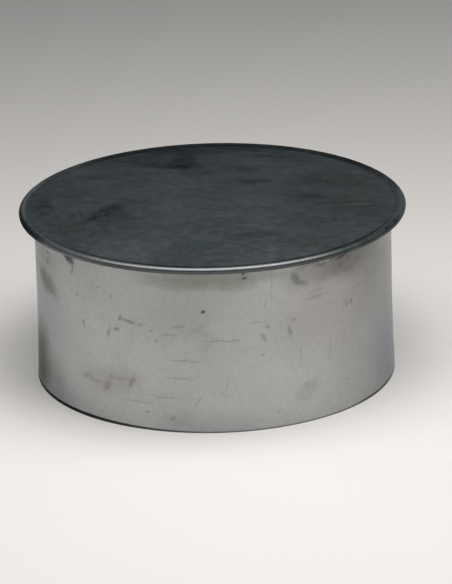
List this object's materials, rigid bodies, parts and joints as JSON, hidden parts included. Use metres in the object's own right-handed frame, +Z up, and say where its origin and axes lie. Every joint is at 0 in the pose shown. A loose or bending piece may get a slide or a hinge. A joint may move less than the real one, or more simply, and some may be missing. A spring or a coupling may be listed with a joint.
{
  "type": "duct end cap",
  "caption": "Round sheet-steel duct end cap: a flat disc with a folded rim seamed onto a rolled collar that slips over the end of a duct.",
  "frame": {"origin": "centre of the open edge, in the plane that the cap stands on", "axes": "+Z up along the collar's axis through the closed end, +Y towards the lap seam at the back, so the camera side is -Y"},
  "size_m": [0.1674, 0.1674, 0.0755],
  "materials": {
    "collar_zinc": "dull galvanised sheet with light handling marks",
    "disc_zinc": "galvanised sheet, darker and mottled"
  },
  "bodies": {
    "root": {"collar": "collar_zinc", "end_disc": "disc_zinc"}
  },
  "joints": []
}
